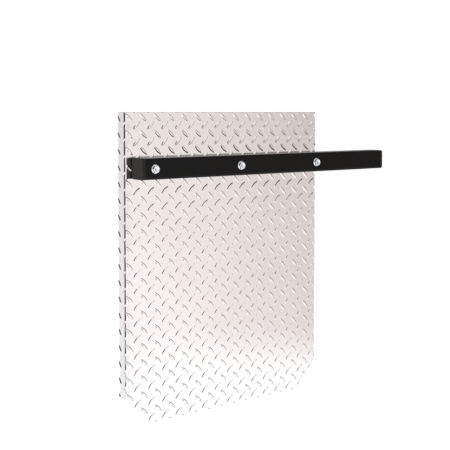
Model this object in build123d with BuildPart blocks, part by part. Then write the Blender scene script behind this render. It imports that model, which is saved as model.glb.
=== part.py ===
from build123d import *

import math
import os

# Mud flap for a truck or trailer: an aluminium tread-plate panel bolted to a square steel support tube.
#
# The panel hangs square to the road behind a wheel, with its raised tread towards the rear. Its outboard
# edge is folded forward, away from the tread, into a stiffening flange. Three flange bolts pass through the
# tube and the panel, and the tube runs on past the panel's inboard edge, where two vertical holes take the
# bolts of a bracket on the vehicle's frame.
#
# Frame of reference, in millimetres: the origin is midway between the two frame-bolt holes, on the tube's
# top face. +X runs along the tube towards the vehicle's frame, +Z is up, and -Y is the tread side of the
# panel, where the tube is.

# ---------------------------------------------------------------- driving dimensions

# Panel, measured over the flange
panel_width = 482.6
panel_height = 609.6
sheet_thickness = 2.0
flange_depth = 25.4
bend_inside_radius = 2.4
corner_cut = 57.0

# Tread: bars leaning one way stand on a square grid, and bars leaning the other way stand at its centres
tread_pitch = 31.75
tread_length = 25.4
tread_width = 6.4
tread_height = 1.5
tread_flank_run = 1.9
tread_first_column = 9.2  # from the flange's outer face to the first column of bars
tread_first_row = 10.8  # from the panel's top edge to the first row of bars

# Support tube
tube_size = 41.3
tube_wall = 2.1
tube_corner_radius = 5.0
tube_length = 624.0
tube_start = 20.4  # from the flange's outer face to the tube's outboard end
tube_drop = 107.8  # from the panel's top edge to the tube's centre line

# Frame-bolt holes through the tube's top and bottom walls
frame_hole_diameter = 10.3
frame_hole_spacing = 76.2
frame_hole_end_distance = 25.4  # from the tube's inboard end to the nearer hole

# Flap bolts, washers and lock nuts (5/16 in hardware)
bolt_diameter = 7.9
bolt_beyond_nut = 4.9
bolt_tip_chamfer = 0.8
bolt_spacing = 203.2
bolt_first = 41.6  # from the flange's outer face to the outboard bolt
bolt_hole_clearance = 0.8  # on the diameter, in the tube, the panel and the washers
head_across_flats = 12.7
head_height = 6.4
head_flange_diameter = 17.4
head_flange_rim = 1.1
head_flange_height = 2.6
washer_diameter = 22.2
washer_thickness = 1.8
nut_across_flats = 12.7
nut_hex_height = 6.4
nut_height = 8.7
nut_insert_wall = 1.15
nut_insert_height = 1.8
nut_collar_wall = 0.7
nut_lip_gap = 0.65  # between the bolt and the collar's rolled lip
hex_flat_share = 0.95  # the end face of a hexagon is a circle of this share of its width
thread_clearance = 0.04

# End plugs
plug_head_thickness = 6.4
plug_head_fillet = 1.5
plug_insert_depth = 12.0
plug_wall = 1.6
plug_rib_count = 3
plug_rib_thickness = 1.2
plug_rib_reach = 1.2
plug_clearance = 0.15

# ---------------------------------------------------------------- places worked out from them

bend_outside_radius = bend_inside_radius + sheet_thickness
bend_arc = math.pi / 2 * bend_outside_radius

tube_inboard_end = frame_hole_spacing / 2 + frame_hole_end_distance
tube_outboard_end = tube_inboard_end - tube_length
tube_centre_z = -tube_size / 2
tube_bore = tube_size - 2 * tube_wall

bolt_hole_diameter = bolt_diameter + bolt_hole_clearance
bolt_grip = tube_size + tread_height + sheet_thickness + washer_thickness
bolt_length = bolt_grip + nut_height + bolt_beyond_nut
nut_insert_diameter = bolt_diameter + 2 * nut_insert_wall
nut_collar_diameter = nut_insert_diameter + 2 * nut_collar_wall
nut_lip_diameter = bolt_diameter + 2 * nut_lip_gap

panel_left = tube_outboard_end - tube_start
panel_right = panel_left + panel_width
panel_top = tube_centre_z + tube_drop
panel_bottom = panel_top - panel_height
panel_front = tube_size / 2 + tread_height
panel_back = panel_front + sheet_thickness
flange_edge = panel_front + flange_depth

bolt_names = ["outboard", "middle", "inboard"]
bolt_places = {name: panel_left + bolt_first + i * bolt_spacing for i, name in enumerate(bolt_names)}

# Planes on the panel's two tread faces. In both, local X is the distance along the unbent sheet from the
# flange's outer face, local Y is up from the top edge, and local Z is out of the tread side.
face_plane = Plane(origin=(panel_left, panel_front, panel_top), x_dir=(1, 0, 0), z_dir=(0, -1, 0))
flange_zero = panel_front + 2 * bend_outside_radius - bend_arc
flange_plane = Plane(origin=(panel_left, flange_zero, panel_top), x_dir=(0, -1, 0), z_dir=(-1, 0, 0))

# Plane on the tube's outer face, at its centre height, with its local Z out along the bolts
bolt_plane = Plane(origin=(0, -tube_size / 2, tube_centre_z), x_dir=(1, 0, 0), z_dir=(0, -1, 0))


# ---------------------------------------------------------------- shared shapes


def lens_arcs(length, width):
    """Two equal arcs that meet in points at both ends of the local X axis."""
    ThreePointArc((-length / 2, 0), (0, width / 2), (length / 2, 0))
    ThreePointArc((length / 2, 0), (0, -width / 2), (-length / 2, 0))


def tread_bar():
    """One raised bar along the X axis, standing on the XY plane, with sloping flanks and a flat top."""
    tip_angle = 2 * math.atan(tread_width / tread_length)
    top_length = tread_length - 2 * tread_flank_run / math.sin(tip_angle)
    top_width = tread_width - 2 * tread_flank_run
    with BuildPart() as bar:
        with BuildSketch() as foot:
            with BuildLine():
                lens_arcs(tread_length, tread_width)
            make_face()
        with BuildSketch(Plane.XY.offset(tread_height)) as top:
            with BuildLine():
                lens_arcs(top_length, top_width)
            make_face()
        loft(sections=[foot.sketch, top.sketch])
    return bar.part


def steps_between(first, low, high):
    """Every first + n * tread_pitch whose bar reaches in between low and high."""
    reach = tread_length / 2 * math.sin(math.radians(45))
    step_from = math.ceil((low - reach - first) / tread_pitch)
    step_to = math.floor((high + reach - first) / tread_pitch)
    return [first + step * tread_pitch for step in range(step_from, step_to + 1)]


def tread_on(plane, outline):
    """The bars that stand on one flat of the panel, cut off where they cross the flat's outline."""
    flat = outline.face()
    size = outline.bounding_box()
    whole_bars = []
    crossing_bars = []
    for shift, angle in ((0, -45), (tread_pitch / 2, 45)):
        for x in steps_between(tread_first_column + shift, size.min.X, size.max.X):
            for y in steps_between(-tread_first_row - shift, size.min.Y, size.max.Y):
                edge_distance = min(edge.distance_to((x, y, 0)) for edge in flat.edges())
                is_whole = flat.is_inside((x, y, 0)) and edge_distance > tread_length / 2
                chosen = whole_bars if is_whole else crossing_bars
                chosen.append(Pos(x, y) * Rot(0, 0, angle) * bar)
    with BuildPart() as cut_bars:
        add(crossing_bars)
        extrude(outline, amount=tread_height, mode=Mode.INTERSECT)
    return [plane * piece for piece in whole_bars + cut_bars.solids()]


def chamfered_hex(across_flats, height):
    """Hexagonal prism standing on the XY plane, with its corners chamfered at the far end."""
    corner = across_flats / math.sqrt(3)
    face = across_flats / 2 * hex_flat_share
    shoulder = height - (corner - face) * math.tan(math.radians(30))
    with BuildPart() as blank:
        with BuildSketch():
            RegularPolygon(across_flats / 2, 6, major_radius=False)
        extrude(amount=height)
        with BuildSketch(Plane.XZ):
            with BuildLine():
                Polyline((0, 0), (corner, 0), (corner, shoulder), (face, height), (0, height), close=True)
            make_face()
        revolve(axis=Axis.Z, mode=Mode.INTERSECT)
    return blank.part


# ---------------------------------------------------------------- panel

bar = tread_bar()

# The face, from the bend to the inboard edge, with its cut corners and its bolt holes
with BuildSketch() as face_outline:
    with BuildLine():
        Polyline(
            (bend_outside_radius, 0),
            (panel_width, 0),
            (panel_width, corner_cut - panel_height),
            (panel_width - corner_cut, -panel_height),
            (corner_cut, -panel_height),
            (bend_outside_radius, corner_cut - bend_outside_radius - panel_height),
            close=True,
        )
    make_face()
    with Locations([(x - panel_left, -tube_drop) for x in bolt_places.values()]):
        Circle(bolt_hole_diameter / 2, mode=Mode.SUBTRACT)

# The flange, from its free edge to the bend
with BuildSketch() as flange_outline:
    with BuildLine():
        Polyline(
            (flange_zero - flange_edge, 0),
            (bend_outside_radius - bend_arc, 0),
            (bend_outside_radius - bend_arc, corner_cut - panel_height),
            (flange_zero - flange_edge, corner_cut - panel_height),
            close=True,
        )
    make_face()

face_tread = tread_on(face_plane, face_outline.sketch)
flange_tread = tread_on(flange_plane, flange_outline.sketch)

with BuildPart() as flap_panel:
    # Sheet: the section of the bent sheet, seen from above, drawn up the whole height
    with BuildSketch(Plane.XY.offset(panel_bottom)):
        with BuildLine():
            Polyline(
                (panel_left + bend_outside_radius, panel_front),
                (panel_right, panel_front),
                (panel_right, panel_back),
                (panel_left + bend_outside_radius, panel_back),
            )
            RadiusArc(
                (panel_left + bend_outside_radius, panel_back),
                (panel_left + sheet_thickness, panel_front + bend_outside_radius),
                bend_inside_radius,
            )
            Polyline(
                (panel_left + sheet_thickness, panel_front + bend_outside_radius),
                (panel_left + sheet_thickness, flange_edge),
                (panel_left, flange_edge),
                (panel_left, panel_front + bend_outside_radius),
            )
            RadiusArc(
                (panel_left, panel_front + bend_outside_radius),
                (panel_left + bend_outside_radius, panel_front),
                -bend_outside_radius,
            )
        make_face()
    extrude(amount=panel_height)

    # Lower corners cut off at 45 degrees
    with BuildSketch(Plane.XZ.offset(-flange_edge)):
        for corner_x, way in ((panel_left, 1), (panel_right, -1)):
            with BuildLine():
                Polyline(
                    (corner_x - way * corner_cut, panel_bottom - corner_cut),
                    (corner_x + way * 2 * corner_cut, panel_bottom - corner_cut),
                    (corner_x - way * corner_cut, panel_bottom + 2 * corner_cut),
                    close=True,
                )
            make_face()
    extrude(amount=2 * flange_edge, mode=Mode.SUBTRACT)

    # Bolt holes
    with Locations(bolt_plane):
        with Locations([(x, 0) for x in bolt_places.values()]):
            Hole(bolt_hole_diameter / 2, depth=2 * flange_edge)

    # Raised tread on the face and on the flange
    add(face_tread + flange_tread)

# ---------------------------------------------------------------- support tube

with BuildPart() as support_tube:
    with BuildSketch(Plane.YZ.offset(tube_outboard_end)):
        with Locations((0, tube_centre_z)):
            RectangleRounded(tube_size, tube_size, tube_corner_radius)
            RectangleRounded(tube_bore, tube_bore, tube_corner_radius - tube_wall, mode=Mode.SUBTRACT)
    extrude(amount=tube_length)
    with Locations(bolt_plane):
        with Locations([(x, 0) for x in bolt_places.values()]):
            Hole(bolt_hole_diameter / 2, depth=tube_size)
    with Locations((-frame_hole_spacing / 2, 0), (frame_hole_spacing / 2, 0)):
        Hole(frame_hole_diameter / 2, depth=tube_size)

# ---------------------------------------------------------------- end plugs

with BuildPart() as inboard_end_plug:
    # Head that covers the tube's end
    with BuildSketch(Plane.YZ.offset(tube_inboard_end)):
        with Locations((0, tube_centre_z)):
            RectangleRounded(tube_size, tube_size, tube_corner_radius)
    extrude(amount=plug_head_thickness)
    fillet(inboard_end_plug.faces().sort_by(Axis.X)[-1].edges(), plug_head_fillet)

    # Hollow insert inside the tube, and the ribs around it that grip the tube's bore
    insert_size = tube_bore - 2 * (plug_clearance + plug_rib_reach)
    with BuildSketch(Plane.YZ.offset(tube_inboard_end)):
        with Locations((0, tube_centre_z)):
            Rectangle(insert_size, insert_size)
            Rectangle(insert_size - 2 * plug_wall, insert_size - 2 * plug_wall, mode=Mode.SUBTRACT)
    extrude(amount=-plug_insert_depth)
    rib_size = tube_bore - 2 * plug_clearance
    rib_step = plug_insert_depth / plug_rib_count
    for rib in range(plug_rib_count):
        with BuildSketch(Plane.YZ.offset(tube_inboard_end - (rib + 1) * rib_step)):
            with Locations((0, tube_centre_z)):
                RectangleRounded(rib_size, rib_size, tube_corner_radius - tube_wall)
                Rectangle(insert_size - 2 * plug_wall, insert_size - 2 * plug_wall, mode=Mode.SUBTRACT)
        extrude(amount=plug_rib_thickness)

with BuildPart() as outboard_end_plug:
    tube_middle = (tube_inboard_end + tube_outboard_end) / 2
    mirror(inboard_end_plug.part, about=Plane.YZ.offset(tube_middle))

# ---------------------------------------------------------------- bolts, washers and lock nuts

bolt_hex = chamfered_hex(head_across_flats, head_height)
nut_hex = chamfered_hex(nut_across_flats, nut_hex_height)

with BuildPart() as flange_bolt:
    # Round flange with a sloping top, the hexagon on it, and the shank behind them
    with BuildSketch(Plane.XZ):
        with BuildLine():
            Polyline(
                (0, 0),
                (head_flange_diameter / 2, 0),
                (head_flange_diameter / 2, head_flange_rim),
                (head_across_flats / 2, head_flange_height),
                (0, head_flange_height),
                close=True,
            )
        make_face()
    revolve(axis=Axis.Z)
    add(bolt_hex)
    with BuildSketch():
        Circle(bolt_diameter / 2)
    extrude(amount=-bolt_length)
    chamfer(flange_bolt.faces().sort_by(Axis.Z)[0].edges(), bolt_tip_chamfer)

with BuildPart() as flat_washer:
    with BuildSketch():
        Circle(washer_diameter / 2)
        Circle(bolt_hole_diameter / 2, mode=Mode.SUBTRACT)
    extrude(amount=washer_thickness)

with BuildPart() as lock_nut:
    # Hexagon with a round collar, whose groove holds the nylon insert under a rolled lip
    insert_top = nut_hex_height + nut_insert_height / 2
    add(nut_hex)
    with BuildSketch(Plane.XY.offset(nut_hex_height)):
        Circle(nut_collar_diameter / 2)
    extrude(amount=nut_height - nut_hex_height)
    fillet(lock_nut.faces().sort_by(Axis.Z)[-1].edges(), (nut_height - nut_hex_height) / 3)
    Hole(bolt_diameter / 2 + thread_clearance)
    with BuildSketch(Plane.XY.offset(insert_top)):
        Circle(nut_insert_diameter / 2)
    extrude(amount=-nut_insert_height, mode=Mode.SUBTRACT)
    with BuildSketch(Plane.XY.offset(insert_top)):
        Circle(nut_lip_diameter / 2)
    extrude(amount=nut_height - insert_top, mode=Mode.SUBTRACT)

with BuildPart() as lock_nut_insert:
    with BuildSketch(Plane.XY.offset(insert_top)):
        Circle(nut_insert_diameter / 2 - thread_clearance)
        Circle(bolt_diameter / 2 + thread_clearance, mode=Mode.SUBTRACT)
    extrude(amount=-nut_insert_height)

# ---------------------------------------------------------------- named pieces

pieces = {
    "flap_panel": flap_panel.part,
    "support_tube": support_tube.part,
    "outboard_end_plug": outboard_end_plug.part,
    "inboard_end_plug": inboard_end_plug.part,
}

# Each bolt's hardware: the washer lies on the panel's smooth back, and the nut is turned over onto it
washer_back = panel_back + washer_thickness
for name, bolt_x in bolt_places.items():
    on_tube = Plane(origin=(bolt_x, -tube_size / 2, tube_centre_z), x_dir=(1, 0, 0), z_dir=(0, -1, 0))
    on_panel = Plane(origin=(bolt_x, panel_back, tube_centre_z), x_dir=(1, 0, 0), z_dir=(0, 1, 0))
    on_washer = Plane(origin=(bolt_x, washer_back, tube_centre_z), x_dir=(1, 0, 0), z_dir=(0, 1, 0))
    pieces[f"flange_bolt_{name}"] = on_tube * flange_bolt.part
    pieces[f"flat_washer_{name}"] = on_panel * flat_washer.part
    pieces[f"lock_nut_{name}"] = on_washer * lock_nut.part
    pieces[f"lock_nut_insert_{name}"] = on_washer * lock_nut_insert.part

os.makedirs("parts", exist_ok=True)
for name, piece in pieces.items():
    piece.label = name
    export_step(piece, f"parts/{name}.step")
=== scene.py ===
import math

import bpy
import numpy as np
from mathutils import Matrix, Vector
from mathutils.geometry import delaunay_2d_cdt


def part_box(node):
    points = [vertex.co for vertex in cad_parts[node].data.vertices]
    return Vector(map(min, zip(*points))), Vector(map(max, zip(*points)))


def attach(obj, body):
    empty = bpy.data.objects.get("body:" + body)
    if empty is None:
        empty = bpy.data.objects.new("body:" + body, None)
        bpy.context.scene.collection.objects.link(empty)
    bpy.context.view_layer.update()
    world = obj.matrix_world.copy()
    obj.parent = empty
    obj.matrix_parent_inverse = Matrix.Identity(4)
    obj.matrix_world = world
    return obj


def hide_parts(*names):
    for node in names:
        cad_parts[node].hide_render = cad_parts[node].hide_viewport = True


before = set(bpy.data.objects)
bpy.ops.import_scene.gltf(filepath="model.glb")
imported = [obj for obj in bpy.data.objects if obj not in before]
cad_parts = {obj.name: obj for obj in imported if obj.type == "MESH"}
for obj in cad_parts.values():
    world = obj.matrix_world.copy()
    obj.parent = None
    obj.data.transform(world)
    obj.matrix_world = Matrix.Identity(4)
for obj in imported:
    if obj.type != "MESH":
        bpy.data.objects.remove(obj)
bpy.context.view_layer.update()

scene = bpy.context.scene
scene.view_settings.view_transform = "Standard"

# ---------------------------------------------------------------- sizes, in metres

# Tread: two families of lens-shaped raised bars, leaning opposite ways, each on a square grid
TREAD_HEIGHT = 0.0015
TREAD_PITCH = 0.03175
TREAD_LENGTH = 0.0254
TREAD_WIDTH = 0.0064
TREAD_FLANK = 0.0020
TREAD_COLUMN = 0.0092
TREAD_ROW = 0.0108
BAR_RADIUS = (TREAD_LENGTH**2 + TREAD_WIDTH**2) / (4 * TREAD_WIDTH)
BAR_OFFSET = BAR_RADIUS - TREAD_WIDTH / 2
BAR_STEPS = 9
FLANK_SHARES = (0, 0.13, 0.29, 0.45, 0.61, 0.79, 1.0)

# Sheet: BEND is the outer radius of the fold
SHEET = 0.0020
BEND = 0.0044
BEND_STEPS = 8
CORNER_CUT = 0.0570
BOLT_HOLE = 0.00435
HOLE_BORDER = 0.0003
HOLE_POINTS = 32
HOLE_SHARE = 0.998  # triangles whose middle is nearer a hole's centre than this share of it are left out

# Sheared edge: rings of points at shares of its rounding, which stops just short of upright
EDGE_ROUND = 0.0010
EDGE_SHARES = (0, 0.29, 1)
EDGE_LAST = 0.9999
EDGE_STEEPEST = 0.96

# Distances that count as nothing: points on one line, points to join, and a bar's two flanks
SAME_PLACE = 1e-6
MERGE = 1e-7
RIDGE = 2e-7

panel_low, panel_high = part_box("flap_panel")
tube_low, tube_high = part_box("support_tube")
LEFT = panel_low.x + TREAD_HEIGHT
RIGHT = panel_high.x
TOP = panel_high.z
FRONT = tube_high.y + TREAD_HEIGHT
WIDTH = RIGHT - LEFT
HEIGHT = panel_high.z - panel_low.z
BEND_ARC = math.pi / 2 * BEND
FLANGE_S = BEND - BEND_ARC - (panel_high.y - FRONT - BEND)  # the flange's free edge, on the unbent sheet
PANEL_BACK = FRONT + SHEET
BOLT_NAMES = ("outboard", "middle", "inboard")
SHARP_ANGLE = math.radians(32)


def centre(node):
    """Middle of a CAD node's box."""
    low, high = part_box(node)
    return (low + high) / 2


# ---------------------------------------------------------------- material helpers


class Tree:
    """Short calls for making shader nodes."""

    def __init__(self, tree):
        self.tree = tree

    def new(self, kind):
        return self.tree.nodes.new(kind)

    def link(self, source, target):
        self.tree.links.new(source, target)

    def feed(self, socket, value):
        """Sets a socket to a number or colour, or links it."""
        if isinstance(value, (int, float, tuple)):
            socket.default_value = value
        else:
            self.link(value, socket)

    def maths(self, operation, first, second=0.0):
        node = self.new("ShaderNodeMath")
        node.operation = operation
        self.feed(node.inputs[0], first)
        self.feed(node.inputs[1], second)
        return node.outputs["Value"]

    def ramp(self, value, *stops):
        node = self.new("ShaderNodeValToRGB")
        elements = node.color_ramp.elements
        while len(elements) < len(stops):
            elements.new(0.5)
        for element, (at, colour) in zip(elements, stops):
            element.position = at
            element.color = (*colour, 1)
        self.link(value, node.inputs["Fac"])
        return node.outputs["Color"]

    def mix(self, kind, factor, first, second):
        node = self.new("ShaderNodeMix")
        node.data_type = "RGBA"
        node.blend_type = kind
        for socket, value in ((node.inputs[0], factor), (node.inputs[6], first), (node.inputs[7], second)):
            self.feed(socket, value)
        return node.outputs[2]


class Nodes(Tree):
    """A node material, with short calls for its textures."""

    def __init__(self, name):
        self.material = bpy.data.materials.new(name)
        self.material.use_nodes = True
        super().__init__(self.material.node_tree)
        self.shader = self.tree.nodes["Principled BSDF"]
        self.coords = self.new("ShaderNodeTexCoord").outputs["Object"]

    def set(self, **values):
        for key, value in values.items():
            self.shader.inputs[key.replace("_", " ")].default_value = value

    def drive(self, key, value):
        self.link(value, self.shader.inputs[key])

    def stretch(self, scale):
        node = self.new("ShaderNodeMapping")
        node.inputs["Scale"].default_value = scale
        self.link(self.coords, node.inputs["Vector"])
        return node.outputs["Vector"]

    def noise(self, scale, detail=4.0, rough=0.5, vector=None):
        node = self.new("ShaderNodeTexNoise")
        node.inputs["Scale"].default_value = scale
        node.inputs["Detail"].default_value = detail
        node.inputs["Roughness"].default_value = rough
        self.link(vector or self.coords, node.inputs["Vector"])
        return node.outputs["Fac"]

    def cells(self, scale):
        node = self.new("ShaderNodeTexVoronoi")
        node.inputs["Scale"].default_value = scale
        self.link(self.coords, node.inputs["Vector"])
        return node.outputs["Distance"]

    def remap(self, value, low, high, to_low, to_high):
        node = self.new("ShaderNodeMapRange")
        for key, number in zip(("From Min", "From Max", "To Min", "To Max"), (low, high, to_low, to_high)):
            node.inputs[key].default_value = number
        self.link(value, node.inputs["Value"])
        return node.outputs["Result"]

    def bump(self, height, strength, distance, under=None):
        node = self.new("ShaderNodeBump")
        node.inputs["Strength"].default_value = strength
        node.inputs["Distance"].default_value = distance
        self.link(height, node.inputs["Height"])
        if under:
            self.link(under, node.inputs["Normal"])
        self.drive("Normal", node.outputs["Normal"])
        return node.outputs["Normal"]


def aluminium():
    """Bright rolled aluminium: nearly a mirror, with fine rolling lines and faint blotches."""
    m = Nodes("bright_rolled_aluminium")
    m.set(Metallic=1.0)
    blotch = m.noise(9.0, 6.0, 0.6)
    lines = m.noise(60.0, 8.0, 0.7, m.stretch((1.0, 1.0, 18.0)))
    fine = m.noise(900.0, 3.0, 0.6)
    colour = m.ramp(
        m.maths("ADD", m.maths("MULTIPLY", blotch, 0.6), m.maths("MULTIPLY", lines, 0.4)),
        (0.30, (0.86, 0.845, 0.84)),
        (0.55, (0.905, 0.89, 0.885)),
        (0.75, (0.935, 0.925, 0.92)),
    )
    m.drive("Base Color", colour)
    mixed = m.maths("ADD", m.maths("MULTIPLY", blotch, 0.5), m.maths("MULTIPLY", lines, 0.5))
    m.drive("Roughness", m.remap(mixed, 0.3, 0.7, 0.05, 0.10))
    under = m.bump(lines, 0.10, 0.0002)
    m.bump(fine, 0.05, 0.0001, under)
    return m.material


def powder_coat():
    """Black powder coat on steel: fine orange peel and small changes in gloss."""
    m = Nodes("black_powder_coat")
    m.set(Specular_IOR_Level=0.14)
    peel = m.noise(650.0, 2.0, 0.5)
    cloud = m.noise(14.0, 4.0, 0.5)
    speck = m.cells(2600.0)
    m.drive("Base Color", m.ramp(cloud, (0.3, (0.0020, 0.0019, 0.0018)), (0.7, (0.0032, 0.0030, 0.0029))))
    gloss = m.maths("ADD", cloud, m.maths("MULTIPLY", speck, 0.3))
    m.drive("Roughness", m.remap(gloss, 0.3, 1.0, 0.15, 0.25))
    m.bump(peel, 0.16, 0.0003)
    return m.material


def black_plastic():
    """Moulded black plastic with a fine spark-eroded grain and slight scuffing."""
    m = Nodes("moulded_black_plastic")
    m.set(Specular_IOR_Level=0.20)
    grain = m.cells(1500.0)
    scuff = m.noise(40.0, 6.0, 0.65, m.stretch((1.0, 1.0, 3.0)))
    m.drive("Base Color", m.ramp(scuff, (0.35, (0.0088, 0.0080, 0.0074)), (0.7, (0.0120, 0.0108, 0.0100))))
    m.drive("Roughness", m.remap(scuff, 0.3, 0.7, 0.50, 0.62))
    m.bump(grain, 0.25, 0.0002)
    return m.material


def zinc():
    """Bright zinc plating with a faint blue cast, spangle and turning marks."""
    m = Nodes("bright_zinc_plate")
    m.set(Metallic=1.0)
    cloud = m.noise(120.0, 5.0, 0.6)
    fine = m.noise(1400.0, 3.0, 0.6)
    shades = ((0.3, (0.78, 0.84, 0.92)), (0.55, (0.86, 0.91, 0.96)), (0.75, (0.94, 0.95, 0.96)))
    m.drive("Base Color", m.ramp(cloud, *shades))
    m.drive("Roughness", m.remap(cloud, 0.3, 0.7, 0.13, 0.24))
    m.bump(fine, 0.15, 0.0001)
    return m.material


def nylon():
    """Off-white nylon, slightly translucent looking, with a cut face."""
    m = Nodes("white_nylon")
    m.set(Specular_IOR_Level=0.45, Subsurface_Weight=0.15)
    cloud = m.noise(300.0, 4.0, 0.5)
    m.drive("Base Color", m.ramp(cloud, (0.3, (0.68, 0.67, 0.62)), (0.7, (0.80, 0.79, 0.75))))
    m.drive("Roughness", m.remap(cloud, 0.3, 0.7, 0.38, 0.52))
    m.bump(m.noise(1800.0, 2.0), 0.15, 0.0001)
    return m.material


def pale_floor():
    """Plain pale studio floor."""
    m = Nodes("pale_floor")
    cloud = m.noise(3.0, 3.0)
    m.drive("Base Color", m.ramp(cloud, (0.3, (0.90, 0.90, 0.90)), (0.7, (0.93, 0.93, 0.93))))
    m.drive("Roughness", m.remap(cloud, 0.3, 0.7, 0.85, 0.95))
    return m.material


ALUMINIUM = aluminium()
COAT = powder_coat()
PLASTIC = black_plastic()
ZINC = zinc()
NYLON = nylon()


def add_piece(name, points, faces, material, replaced, normals=None):
    """A mesh piece on the root body, with one normal per face corner, or smooth between sharp edges."""
    mesh = bpy.data.meshes.new(name)
    mesh.from_pydata(points, [], faces)
    mesh.validate()
    mesh.materials.append(material)
    mesh.shade_smooth()
    if normals is None:
        mesh.set_sharp_from_angle(angle=SHARP_ANGLE)
    else:
        mesh.normals_split_custom_set(normals)
    piece = bpy.data.objects.new(name, mesh)
    scene.collection.objects.link(piece)
    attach(piece, "root")
    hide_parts(replaced)


# ---------------------------------------------------------------- tread-plate panel


def lens_ring(x, y, angle, inset):
    """Points round one raised bar's outline, moved in by inset."""
    radius = BAR_RADIUS - inset
    sweep = math.acos(BAR_OFFSET / radius)
    ring = []
    for side in (1, -1):
        for k in range(BAR_STEPS):
            t = side * sweep * (2 * k / BAR_STEPS - 1)
            ring.append((radius * math.sin(t), side * (radius * math.cos(t) - BAR_OFFSET)))
    c, s = math.cos(angle), math.sin(angle)
    return [(x + a * c - b * s, y + a * s + b * c) for a, b in ring]


def bar_families():
    """First place and lean of each of the two families of raised bars."""
    return ((0.0, -math.pi / 4), (TREAD_PITCH / 2, math.pi / 4))


def bar_height(s, v):
    """Height of the tread and its slope along s and v, at points on the unbent sheet."""
    height = np.zeros_like(s)
    slope = np.zeros((len(s), 2))
    for shift, angle in bar_families():
        ds = s - TREAD_COLUMN - shift
        dv = v + TREAD_ROW + shift
        ds = ds - np.round(ds / TREAD_PITCH) * TREAD_PITCH
        dv = dv - np.round(dv / TREAD_PITCH) * TREAD_PITCH
        c, k = math.cos(angle), math.sin(angle)
        a = ds * c + dv * k
        b = -ds * k + dv * c
        r_up = np.hypot(a, b + BAR_OFFSET)
        r_down = np.hypot(a, b - BAR_OFFSET)
        inset = BAR_RADIUS - np.maximum(r_up, r_down)
        inside = inset > -1e-9
        t = np.clip(inset / TREAD_FLANK, 0, 1)
        rise = TREAD_HEIGHT * t * t * (3 - 2 * t)
        steep = TREAD_HEIGHT * 6 * t * (1 - t) / TREAD_FLANK
        weight = np.clip((r_up - r_down) / RIDGE + 0.5, 0, 1)
        ga = -(weight * a / r_up + (1 - weight) * a / r_down)
        gb = -(weight * (b + BAR_OFFSET) / r_up + (1 - weight) * (b - BAR_OFFSET) / r_down)
        height = np.where(inside, rise, height)
        both = np.stack([ga * c - gb * k, ga * k + gb * c], 1) * steep[:, None]
        slope = np.where(inside[:, None], both, slope)
    return height, slope


def bend_turn(s):
    """Angle that the sheet has turned at distance s, from 0 on the face to a right angle on the flange."""
    return np.clip((BEND - s) / BEND, 0, math.pi / 2)


def place(s, v, height):
    """Points on the bent sheet, from unbent distances and height above the tread side."""
    turn = bend_turn(s)
    x = LEFT + BEND - (BEND + height) * np.sin(turn) + np.maximum(s - BEND, 0)
    y = FRONT + BEND - (BEND + height) * np.cos(turn) + np.maximum(BEND - BEND_ARC - s, 0)
    return np.stack([x, y, TOP + v], 1)


def turn_normals(s, slope):
    """Unit normals on the bent sheet."""
    turn = bend_turn(s)
    along = np.stack([np.cos(turn), -np.sin(turn), np.zeros_like(turn)], 1)
    out = np.stack([-np.sin(turn), -np.cos(turn), np.zeros_like(turn)], 1)
    up = np.array([[0.0, 0.0, 1.0]])
    n = out - slope[:, :1] * along - slope[:, 1:] * up
    return n / np.linalg.norm(n, axis=1)[:, None]


def bend_places():
    """Distances on the unbent sheet from the end of the fold to its start."""
    return [BEND - BEND_ARC * step / BEND_STEPS for step in range(BEND_STEPS + 1)]


def outline_points(inset):
    """Outline of the unbent sheet, moved in by inset, anticlockwise from the top left."""
    e = inset
    d = inset * math.tan(math.pi / 8)
    points = [(FLANGE_S + e, -e), (FLANGE_S + e, CORNER_CUT - HEIGHT + e)]
    for step in range(BEND_STEPS + 1):
        s = BEND - BEND_ARC + BEND_ARC * step / BEND_STEPS
        fall = BEND * (1 - math.sin(bend_turn(np.array(s))))
        points.append((s + d * step / BEND_STEPS, CORNER_CUT - HEIGHT + e - fall))
    points.append((CORNER_CUT + d, -HEIGHT + e))
    points.append((WIDTH - CORNER_CUT - d, -HEIGHT + e))
    points.append((WIDTH - e, CORNER_CUT - HEIGHT + d))
    points.append((WIDTH - e, -e))
    return points


def edge_distance(s, v):
    """Distance in from the sheet's outline, and the way to the nearest edge, as a unit vector."""
    root = math.sqrt(0.5)
    turn = bend_turn(s)
    fall = BEND * (1 - np.sin(turn))
    on_bend = (s < BEND) & (s > BEND - BEND_ARC)
    lower = v - (CORNER_CUT - HEIGHT) + np.where(on_bend, fall, np.where(s >= BEND, s, 0))
    lean = np.where(s >= BEND, 1.0, np.where(on_bend, np.cos(turn), 0.0))
    scale = np.sqrt(1 + lean**2)
    distances = [
        (s - FLANGE_S, np.full_like(s, -1.0), np.zeros_like(s)),
        (WIDTH - s, np.ones_like(s), np.zeros_like(s)),
        (-v, np.zeros_like(s), np.ones_like(s)),
        (v + HEIGHT, np.zeros_like(s), -np.ones_like(s)),
        (lower / scale, -lean / scale, -1 / scale),
        (((v + HEIGHT) - (s - WIDTH + CORNER_CUT)) * root, np.full_like(s, root), np.full_like(s, -root)),
    ]
    table = np.stack([d[0] for d in distances])
    nearest = table.argmin(0)
    pick = np.arange(len(s))
    ways = np.stack([np.stack([d[1], d[2]], 1) for d in distances])
    return table[nearest, pick], ways[nearest, pick]


def on_sheet(points, triangles, holes):
    """Which triangles lie inside the sheet's outline and outside its bolt holes."""
    middles = points[triangles].mean(1)
    inside, _ = edge_distance(middles[:, 0], middles[:, 1])
    keep = inside > 0
    for x, y in holes:
        keep &= np.hypot(middles[:, 0] - x, middles[:, 1] - y) > BOLT_HOLE * HOLE_SHARE
    return keep


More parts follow.
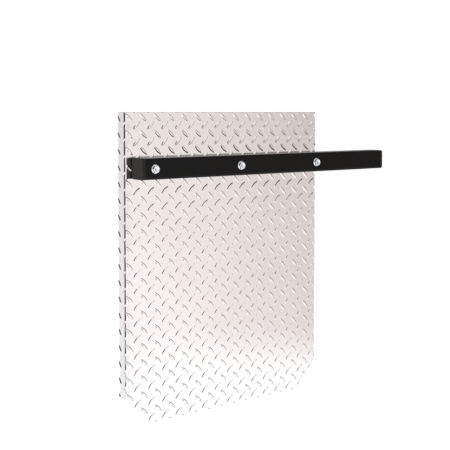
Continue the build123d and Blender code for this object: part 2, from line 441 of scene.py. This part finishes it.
def sheet_lines(holes):
    """Points and lines on the unbent sheet that the tread side's triangles follow."""
    points, lines = [], []

    def add_loop(loop):
        first = len(points)
        points.extend(loop)
        lines.extend((first + k, first + (k + 1) % len(loop)) for k in range(len(loop)))

    spots = np.arange(-2, int(HEIGHT / TREAD_PITCH) + 2) * TREAD_PITCH
    for shift, angle in bar_families():
        for x in spots + TREAD_COLUMN + shift:
            for y in -spots - TREAD_ROW - shift:
                distance, _ = edge_distance(np.array([x]), np.array([y]))
                if distance[0] > -TREAD_LENGTH / 2:
                    for share in FLANK_SHARES:
                        add_loop(lens_ring(x, y, angle, TREAD_FLANK * share))
    for share in EDGE_SHARES:
        add_loop(outline_points(EDGE_ROUND * share))
    turns = np.linspace(0, 2 * math.pi, HOLE_POINTS + 1)[:-1]
    for x, y in holes:
        for radius in (BOLT_HOLE, BOLT_HOLE + HOLE_BORDER):
            add_loop([(x + radius * math.cos(t), y + radius * math.sin(t)) for t in turns])
    for s in bend_places():
        lines.append((len(points), len(points) + 1))
        points.extend([(s, 0.0), (s, CORNER_CUT - HEIGHT - BEND)])
    return points, lines


def fill_sheet(points, lines, holes):
    """Triangles over the sheet that follow the lines: points, triangles, and each point's sources."""
    made = delaunay_2d_cdt([Vector(p) for p in points], lines, [], 0, MERGE)
    flat = np.array([tuple(p) for p in made[0]])
    triangles = np.array(made[2])
    return flat, triangles[on_sheet(flat, triangles, holes)], made[3]


def facing(points, triangles, way):
    """The triangles with their corners anticlockwise for way 1, or clockwise for way -1."""
    a, b, c = (points[triangles[:, k]] for k in range(3))
    wrong = np.cross(b - a, c - a) * way < 0
    triangles[wrong] = triangles[wrong][:, ::-1]
    return triangles


def rim_sides(triangles):
    """Sides that belong to one triangle only."""
    sides = np.concatenate([triangles[:, [0, 1]], triangles[:, [1, 2]], triangles[:, [2, 0]]])
    _, first, count = np.unique(np.sort(sides, 1), axis=0, return_index=True, return_counts=True)
    return sides[first[count == 1]]


def tread_side(s, v):
    """Points and normals of the tread side, with its bars and its rounded edge."""
    height, slope = bar_height(s, v)
    edge, way = edge_distance(s, v)
    into = np.clip(1 - edge / EDGE_ROUND, 0, 1)
    drop = EDGE_ROUND * (1 - np.sqrt(1 - np.minimum(into, EDGE_LAST) ** 2))
    near = np.clip(into, 0, EDGE_STEEPEST)
    steep = near / np.sqrt(1 - near**2)
    slope = slope - way * (steep * (into > 0))[:, None]
    return place(s, v, height - drop), turn_normals(s, slope)


def back_side(outline, sides, holes):
    """Points, normals and triangles of the plain back, which has only the rim's points."""
    lines = sides.tolist()
    for bend_s in bend_places():
        on_line = np.flatnonzero(np.abs(outline[:, 0] - bend_s) < SAME_PLACE)
        if len(on_line) >= 2:
            ends = on_line[np.argsort(outline[on_line, 1], kind="stable")]
            lines.append((int(ends[0]), int(ends[-1])))
    _, triangles, sources = fill_sheet(outline, lines, holes)
    origin = np.array([source[0] for source in sources])
    triangles = facing(outline, origin[triangles], -1)

    s, v = outline[:, 0], outline[:, 1]
    points = place(s, v, np.full(len(s), -SHEET))
    # The corner cut runs straight through the fold, so its points move to the cut's own plane
    cut_top = CORNER_CUT - HEIGHT
    edge, _ = edge_distance(s, v)
    on_cut = (np.abs(edge) < SAME_PLACE) & (s < BEND) & (v < cut_top + SAME_PLACE)
    points[on_cut, 2] = TOP + cut_top - (points[on_cut, 0] - LEFT)
    return points, -turn_normals(s, np.zeros((len(s), 2))), triangles


def make_panel():
    """The bent tread plate: a closed mesh with raised bars, rounded sheared edges and bolt holes."""
    holes = [(centre(f"flange_bolt_{n}").x - LEFT, centre("support_tube").z - TOP) for n in BOLT_NAMES]
    flat, triangles, _ = fill_sheet(*sheet_lines(holes), holes)
    used, triangles = np.unique(triangles, return_inverse=True)
    flat = flat[used]
    triangles = facing(flat, triangles.reshape(-1, 3), 1)
    front, front_normals = tread_side(flat[:, 0], flat[:, 1])

    rim = rim_sides(triangles)
    rim_points, rim_order = np.unique(rim, return_inverse=True)
    rim_order = rim_order.reshape(-1, 2)
    back, back_normals, back_triangles = back_side(flat[rim_points], rim_order, holes)

    points = np.concatenate([front, back])
    behind = rim_order + len(front)
    walls = np.stack([rim[:, 1], rim[:, 0], behind[:, 0], behind[:, 1]], 1)
    first, second, third = (points[walls[:, k]] for k in range(3))
    across = np.cross(second - first, third - first)
    across = across / np.linalg.norm(across, axis=1)[:, None]
    normals = [
        front_normals[triangles].reshape(-1, 3),
        back_normals[back_triangles].reshape(-1, 3),
        np.repeat(across, 4, axis=0),
    ]
    faces = triangles.tolist() + (back_triangles + len(front)).tolist() + walls.tolist()
    normals = np.concatenate(normals).tolist()
    add_piece("tread_plate_panel", points.tolist(), faces, ALUMINIUM, "flap_panel", normals)


make_panel()

# ---------------------------------------------------------------- bolts, washers and lock nuts

HEX_STEPS = (-30.0, -28.6, -26.0, -20.0, -12.0, -4.0, 4.0, 12.0, 20.0, 26.0, 28.6)
HEX_ANGLES = [math.radians(60 * side + step) for side in range(6) for step in HEX_STEPS]
HEX_SOFTEN = 0.985
HEX_CHAMFER = math.radians(30)
ACROSS_FLATS = 0.0127
HEX_FACE = ACROSS_FLATS / 2 * 0.95
BOLT_RADIUS = 0.00395
THREAD_PITCH = 0.00141
THREAD_DEPTH = 0.00070
THREAD_STEPS = 10
TIP_CHAMFER = 0.0008
NUT_HEX = 0.0064
NEAR_AXIS = 0.00002


def hex_radius(across_flats, angle):
    """Distance from the centre to a hexagon's side at an angle, with its corners slightly worn."""
    within = (math.degrees(angle) + 30) % 60 - 30
    corner = across_flats / math.sqrt(3) * HEX_SOFTEN
    return min(across_flats / 2 / math.cos(math.radians(within)), corner)


def stack_piece(name, x, z, rings, material, replaced, angles=HEX_ANGLES, closed=True):
    """A piece round an axis along Y. Each ring is a function that gives radius and Y at an angle."""
    points, faces = [], []
    for ring in rings:
        for angle in angles:
            radius, y = ring(angle)
            points.append((x + radius * math.sin(angle), y, z + radius * math.cos(angle)))
    n = len(angles)
    count = len(rings)
    for k in range(count if closed else count - 1):
        low, high = k * n, ((k + 1) % count) * n
        for i in range(n):
            j = (i + 1) % n
            faces.append((low + i, low + j, high + j, high + i))
    if not closed:
        faces.append(tuple(range(n - 1, -1, -1)))
        faces.append(tuple(range((count - 1) * n, count * n)))
    add_piece(name, points, faces, material, replaced)


def round_ring(radius, y):
    """A circular ring."""
    return lambda angle: (radius, y)


def hex_ring(across_flats, y, face_radius=None, way=1.0):
    """A hexagonal ring. With a face radius, its corners fall away from y by a 30 degree chamfer."""

    def ring(angle):
        radius = hex_radius(across_flats, angle)
        fall = 0.0 if face_radius is None else max(0.0, radius - face_radius) * math.tan(HEX_CHAMFER)
        return radius, y - way * fall

    return ring


def make_bolt(name):
    """Hex flange bolt: dished head, sloping flange, shank, and a threaded tail with a chamfered end."""
    low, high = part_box(f"flange_bolt_{name}")
    x, z = (low.x + high.x) / 2, (low.z + high.z) / 2
    head_top, tail = low.y, high.y
    seat = tube_low.y
    rim = (high.x - low.x) / 2
    rings = [
        round_ring(NEAR_AXIS, head_top + 0.00045),
        round_ring(HEX_FACE * 0.62, head_top + 0.00045),
        round_ring(HEX_FACE * 0.72, head_top + 0.00012),
        round_ring(HEX_FACE * 0.78, head_top),
        round_ring(HEX_FACE * 0.96, head_top),
        hex_ring(ACROSS_FLATS, head_top + 0.00008, HEX_FACE, -1.0),
        hex_ring(ACROSS_FLATS, seat - 0.00285),
        lambda angle: (hex_radius(ACROSS_FLATS, angle) + 0.00018, seat - 0.00262),
        round_ring(rim * 0.90, seat - 0.00165),
        round_ring(rim * 0.975, seat - 0.00140),
        round_ring(rim, seat - 0.00105),
        round_ring(rim, seat - 0.00025),
        round_ring(rim - 0.00025, seat),
        round_ring(BOLT_RADIUS + 0.0004, seat),
        round_ring(BOLT_RADIUS, seat + 0.0004),
    ]
    thread_from = PANEL_BACK - 0.004
    rings.append(round_ring(BOLT_RADIUS, thread_from - 0.0006))
    steps = int((tail - thread_from) / THREAD_PITCH * THREAD_STEPS)

    def thread_ring(y):
        def ring(angle):
            phase = ((y - thread_from) / THREAD_PITCH - angle / (2 * math.pi)) % 1.0
            dip = THREAD_DEPTH * min(1.0, max(0.0, 1.25 - abs(phase - 0.5) * 3.4))
            end = max(0.0, y - (tail - TIP_CHAMFER))
            return min(BOLT_RADIUS - dip, BOLT_RADIUS - end), y

        return ring

    rings += [thread_ring(thread_from + (tail - thread_from) * k / steps) for k in range(steps + 1)]
    rings.append(round_ring(NEAR_AXIS, tail))
    node = f"flange_bolt_{name}"
    stack_piece(f"bolt_{name}", x, z, rings, ZINC, node, closed=False)


def make_washer(name):
    """Flat washer with the rounded edge of the punched side towards the nut."""
    low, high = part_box(f"flat_washer_{name}")
    x, z = (low.x + high.x) / 2, (low.z + high.z) / 2
    outer = (high.x - low.x) / 2
    inner = BOLT_RADIUS + 0.0004
    rings = [
        round_ring(inner, low.y),
        round_ring(outer - 0.0001, low.y),
        round_ring(outer, low.y + 0.0001),
        round_ring(outer, high.y - 0.0005),
        round_ring(outer - 0.00015, high.y - 0.00015),
        round_ring(outer - 0.0005, high.y),
        round_ring(inner + 0.0002, high.y),
        round_ring(inner, high.y - 0.0002),
    ]
    angles = [2 * math.pi * k / 72 for k in range(72)]
    stack_piece(f"washer_{name}", x, z, rings, ZINC, f"flat_washer_{name}", angles)


def make_nut(name):
    """Nylon-insert lock nut: chamfered hexagon and a round collar rolled in over the ring."""
    low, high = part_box(f"lock_nut_{name}")
    ring_low, ring_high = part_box(f"lock_nut_insert_{name}")
    x, z = (low.x + high.x) / 2, (low.z + high.z) / 2
    shoulder = low.y + NUT_HEX
    bore = BOLT_RADIUS + 0.00004
    ring_radius = (ring_high.x - ring_low.x) / 2
    collar = ring_radius + 0.0007
    rings = [
        round_ring(bore, low.y + 0.0004),
        round_ring(bore + 0.0004, low.y),
        round_ring(HEX_FACE * 0.98, low.y),
        hex_ring(ACROSS_FLATS, low.y + 0.00006, HEX_FACE, -1.0),
        hex_ring(ACROSS_FLATS, shoulder, HEX_FACE, 1.0),
        round_ring(HEX_FACE * 0.97, shoulder),
        round_ring(collar + 0.00015, shoulder + 0.00005),
        round_ring(collar, shoulder + 0.0002),
        round_ring(collar, high.y - 0.0008),
        round_ring(collar - 0.00015, high.y - 0.0003),
        round_ring(collar - 0.00045, high.y - 0.00005),
        round_ring(collar - 0.0008, high.y),
        round_ring(BOLT_RADIUS + 0.00065, high.y - 0.00008),
        round_ring(BOLT_RADIUS + 0.00065, ring_high.y + 0.00002),
        round_ring(ring_radius + 0.00001, ring_high.y + 0.00002),
        round_ring(ring_radius + 0.00001, ring_low.y - 0.00002),
        round_ring(bore, ring_low.y - 0.00002),
    ]
    stack_piece(f"nut_{name}", x, z, rings, ZINC, f"lock_nut_{name}")
    rings = [
        round_ring(BOLT_RADIUS + 0.00003, ring_low.y),
        round_ring(ring_radius - 0.0001, ring_low.y),
        round_ring(ring_radius, ring_low.y + 0.0001),
        round_ring(ring_radius, ring_high.y),
        round_ring(BOLT_RADIUS + 0.0002, ring_high.y),
        round_ring(BOLT_RADIUS + 0.00003, ring_high.y - 0.00015),
    ]
    angles = [2 * math.pi * k / 60 for k in range(60)]
    stack_piece(f"nylon_ring_{name}", x, z, rings, NYLON, f"lock_nut_insert_{name}", angles)


for name in BOLT_NAMES:
    make_bolt(name)
    make_washer(name)
    make_nut(name)

# ---------------------------------------------------------------- CAD nodes with better materials


def paint(node, material):
    """Gives a CAD node one material."""
    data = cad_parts[node].data
    data.materials.clear()
    data.materials.append(material)


paint("support_tube", COAT)
for name in ("outboard_end_plug", "inboard_end_plug"):
    paint(name, PLASTIC)

# ---------------------------------------------------------------- studio

FLOOR_BELOW = 0.45
BLACK = (0, 0, 0)
WHITE = (1, 1, 1)
DARK = (0.014, 0.012, 0.014)


def grid_faces(columns, rows):
    """Faces of a grid of points, given row by row."""
    corners = [j * (columns + 1) + i for j in range(rows) for i in range(columns)]
    return [(k, k + 1, k + columns + 2, k + columns + 1) for k in corners]


def make_floor():
    """A large plain pale floor below the flap, left out of reflections."""
    steps = 24
    half_width = 40.0
    height = panel_low.z - FLOOR_BELOW
    grid = np.linspace(-half_width, half_width, steps + 1)
    mesh = bpy.data.meshes.new("studio_floor")
    mesh.from_pydata([(x, y, height) for y in grid for x in grid], [], grid_faces(steps, steps))
    mesh.materials.append(pale_floor())
    floor = bpy.data.objects.new("studio_floor", mesh)
    scene.collection.objects.link(floor)
    floor.visible_glossy = False


def add_light(name, place_at, aim, size, power):
    """A soft square light that isn't seen itself."""
    data = bpy.data.lights.new(name, "AREA")
    data.shape = "SQUARE"
    data.size = size
    data.energy = power
    light = bpy.data.objects.new(name, data)
    light.location = place_at
    light.rotation_mode = "QUATERNION"
    light.rotation_quaternion = (Vector(aim) - Vector(place_at)).to_track_quat("-Z", "Y")
    light.visible_camera = False
    light.visible_glossy = False
    scene.collection.objects.link(light)


def make_world():
    """Pale surroundings: plain white to the eye, and for reflections a room that changes with direction."""
    world = bpy.data.worlds.new("studio_world")
    scene.world = world
    world.use_nodes = True
    world.node_tree.nodes.clear()
    w = Tree(world.node_tree)
    split = w.new("ShaderNodeSeparateXYZ")
    w.link(w.new("ShaderNodeTexCoord").outputs["Generated"], split.inputs["Vector"])

    # Elevation as 0 straight down to 1 straight up; azimuth from -Y towards +X as 0 to 1 over a whole turn
    elevation = w.maths("DIVIDE", w.maths("ARCSINE", split.outputs["Z"]), math.pi)
    elevation = w.maths("ADD", elevation, 0.5)
    azimuth = w.maths("ARCTAN2", split.outputs["X"], w.maths("MULTIPLY", split.outputs["Y"], -1.0))
    azimuth = w.maths("DIVIDE", w.maths("ADD", azimuth, math.pi), 2 * math.pi)

    def by_height(*stops):
        """Colours at elevations in degrees."""
        return w.ramp(elevation, *((0.5 + degrees / 180, colour) for degrees, colour in stops))

    def by_round(*stops):
        """Colours at azimuths in degrees."""
        return w.ramp(azimuth, *(((degrees + 180) / 360, colour) for degrees, colour in stops))

    # Walls: white in front, dark to the left where the fold and the bars pick it up, grey to the right
    wall = by_round(
        (-179, (0.80, 0.79, 0.79)),
        (-146, (0.86, 0.84, 0.84)),
        (-128, (0.46, 0.44, 0.44)),
        (-106, (0.28, 0.27, 0.27)),
        (-98, DARK),
        (-52, DARK),
        (-42, (0.90, 0.88, 0.88)),
        (26, (1.02, 0.985, 0.97)),
        (33, (0.93, 0.885, 0.865)),
        (42, (0.72, 0.665, 0.645)),
        (50, (0.42, 0.38, 0.37)),
        (75, (0.25, 0.23, 0.225)),
        (120, (0.32, 0.30, 0.30)),
        (160, (0.80, 0.79, 0.79)),
    )
    high_wall = by_round(
        (-104, (0.30, 0.29, 0.29)),
        (-96, DARK),
        (-38, DARK),
        (-27, (0.90, 0.88, 0.88)),
        (26, (1.02, 0.985, 0.97)),
        (42, (0.72, 0.665, 0.645)),
        (75, (0.25, 0.23, 0.225)),
        (120, (0.32, 0.30, 0.30)),
        (160, (0.80, 0.79, 0.79)),
    )
    high = by_height((22, BLACK), (30, WHITE))
    wall = w.mix("MIX", high, wall, high_wall)
    lighter_low = by_height((-14, (1.12, 1.13, 1.14)), (-7, (1.04, 1.04, 1.04)), (2, (0.90, 0.90, 0.90)))
    wall = w.mix("MULTIPLY", 1.0, wall, lighter_low)

    # Floor: bright in front and greyer behind, with one dark patch low on the left
    floor = by_height(
        (-88, (0.70, 0.69, 0.68)),
        (-74, (0.95, 0.94, 0.94)),
        (-62, (1.20, 1.20, 1.21)),
    )
    floor_round = by_round(
        (-179, (0.52, 0.52, 0.52)),
        (-156, (0.62, 0.62, 0.62)),
        (-149, (0.88, 0.88, 0.88)),
        (-138, (0.88, 0.88, 0.88)),
        (-126, (0.60, 0.60, 0.60)),
        (-100, (0.60, 0.60, 0.60)),
        (-80, (1, 1, 1)),
        (48, (1, 1, 1)),
        (75, (0.55, 0.54, 0.54)),
        (120, (0.40, 0.39, 0.39)),
        (160, (0.48, 0.47, 0.47)),
    )
    floor = w.mix("MULTIPLY", 1.0, floor, floor_round)
    patch_round = by_round((-86, BLACK), (-76, WHITE), (-47, WHITE), (-38, BLACK))
    patch_up = by_height((-71, BLACK), (-67, WHITE), (-54, WHITE), (-47, BLACK))
    patch = w.mix("MULTIPLY", 1.0, patch_round, patch_up)
    floor = w.mix("MIX", patch, floor, (0.03, 0.028, 0.03, 1))

    under = by_height((-16.5, WHITE), (-14.0, BLACK))
    over = by_height((52, BLACK), (62, WHITE))
    room = w.mix("MIX", over, wall, (0.92, 0.90, 0.90, 1))
    room = w.mix("MIX", under, room, floor)
    rays = w.new("ShaderNodeLightPath")
    soft = w.mix("MIX", rays.outputs["Is Glossy Ray"], (1.15, 1.15, 1.15, 1), room)
    shown = w.mix("MIX", rays.outputs["Is Camera Ray"], soft, (1.05, 1.05, 1.05, 1))
    background = w.new("ShaderNodeBackground")
    w.link(shown, background.inputs["Color"])
    w.link(background.outputs["Background"], w.new("ShaderNodeOutputWorld").inputs["Surface"])


def make_camera():
    """Camera level with the flap's top edge, to its left, looking slightly down at its inboard end."""
    data = bpy.data.cameras.new("camera")
    data.sensor_width = 36.0
    data.lens = 70.92
    data.shift_y = -0.165
    data.clip_start = 0.05
    data.clip_end = 60.0
    camera = bpy.data.objects.new("camera", data)
    camera.location = (LEFT - 0.8348, FRONT - 1.47225, TOP - 0.00105)
    yaw, tilt = math.radians(36.02), math.radians(-2.47)
    way = Vector((math.sin(yaw) * math.cos(tilt), math.cos(yaw) * math.cos(tilt), math.sin(tilt)))
    camera.rotation_mode = "QUATERNION"
    camera.rotation_quaternion = way.to_track_quat("-Z", "Y")
    scene.collection.objects.link(camera)
    scene.camera = camera


make_floor()
make_world()
middle = centre("flap_panel")
add_light("key", (middle.x - 2.0, middle.y - 3.0, 2.6), middle, size=2.5, power=30.0)
add_light("side", (LEFT - 2.5, 0.0, -0.02), (LEFT, 0.0, -0.02), size=1.4, power=88.0)
add_light("back", (middle.x + 0.5, middle.y + 3.2, 2.2), middle, size=2.5, power=30.0)
make_camera()
